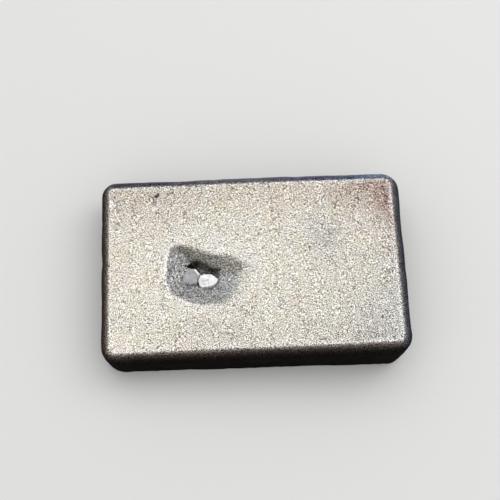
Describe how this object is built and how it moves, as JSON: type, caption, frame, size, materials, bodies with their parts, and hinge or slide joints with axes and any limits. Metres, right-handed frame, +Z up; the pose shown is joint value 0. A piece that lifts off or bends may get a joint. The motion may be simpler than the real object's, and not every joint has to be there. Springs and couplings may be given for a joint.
{
  "type": "metal ingot",
  "caption": "Small flat cast metal ingot with rounded edges and a shrinkage cavity in its free face, raw stock for melting.",
  "frame": {"origin": "centre of the flat base, at the bottom of the overall box", "axes": "+X along the length, towards the thicker end; +Y across the width; +Z up, out of the free face"},
  "size_m": [0.0504, 0.032, 0.0099],
  "materials": {
    "cast_metal": "satin"
  },
  "bodies": {
    "root": {"ingot": "cast_metal"}
  },
  "joints": []
}
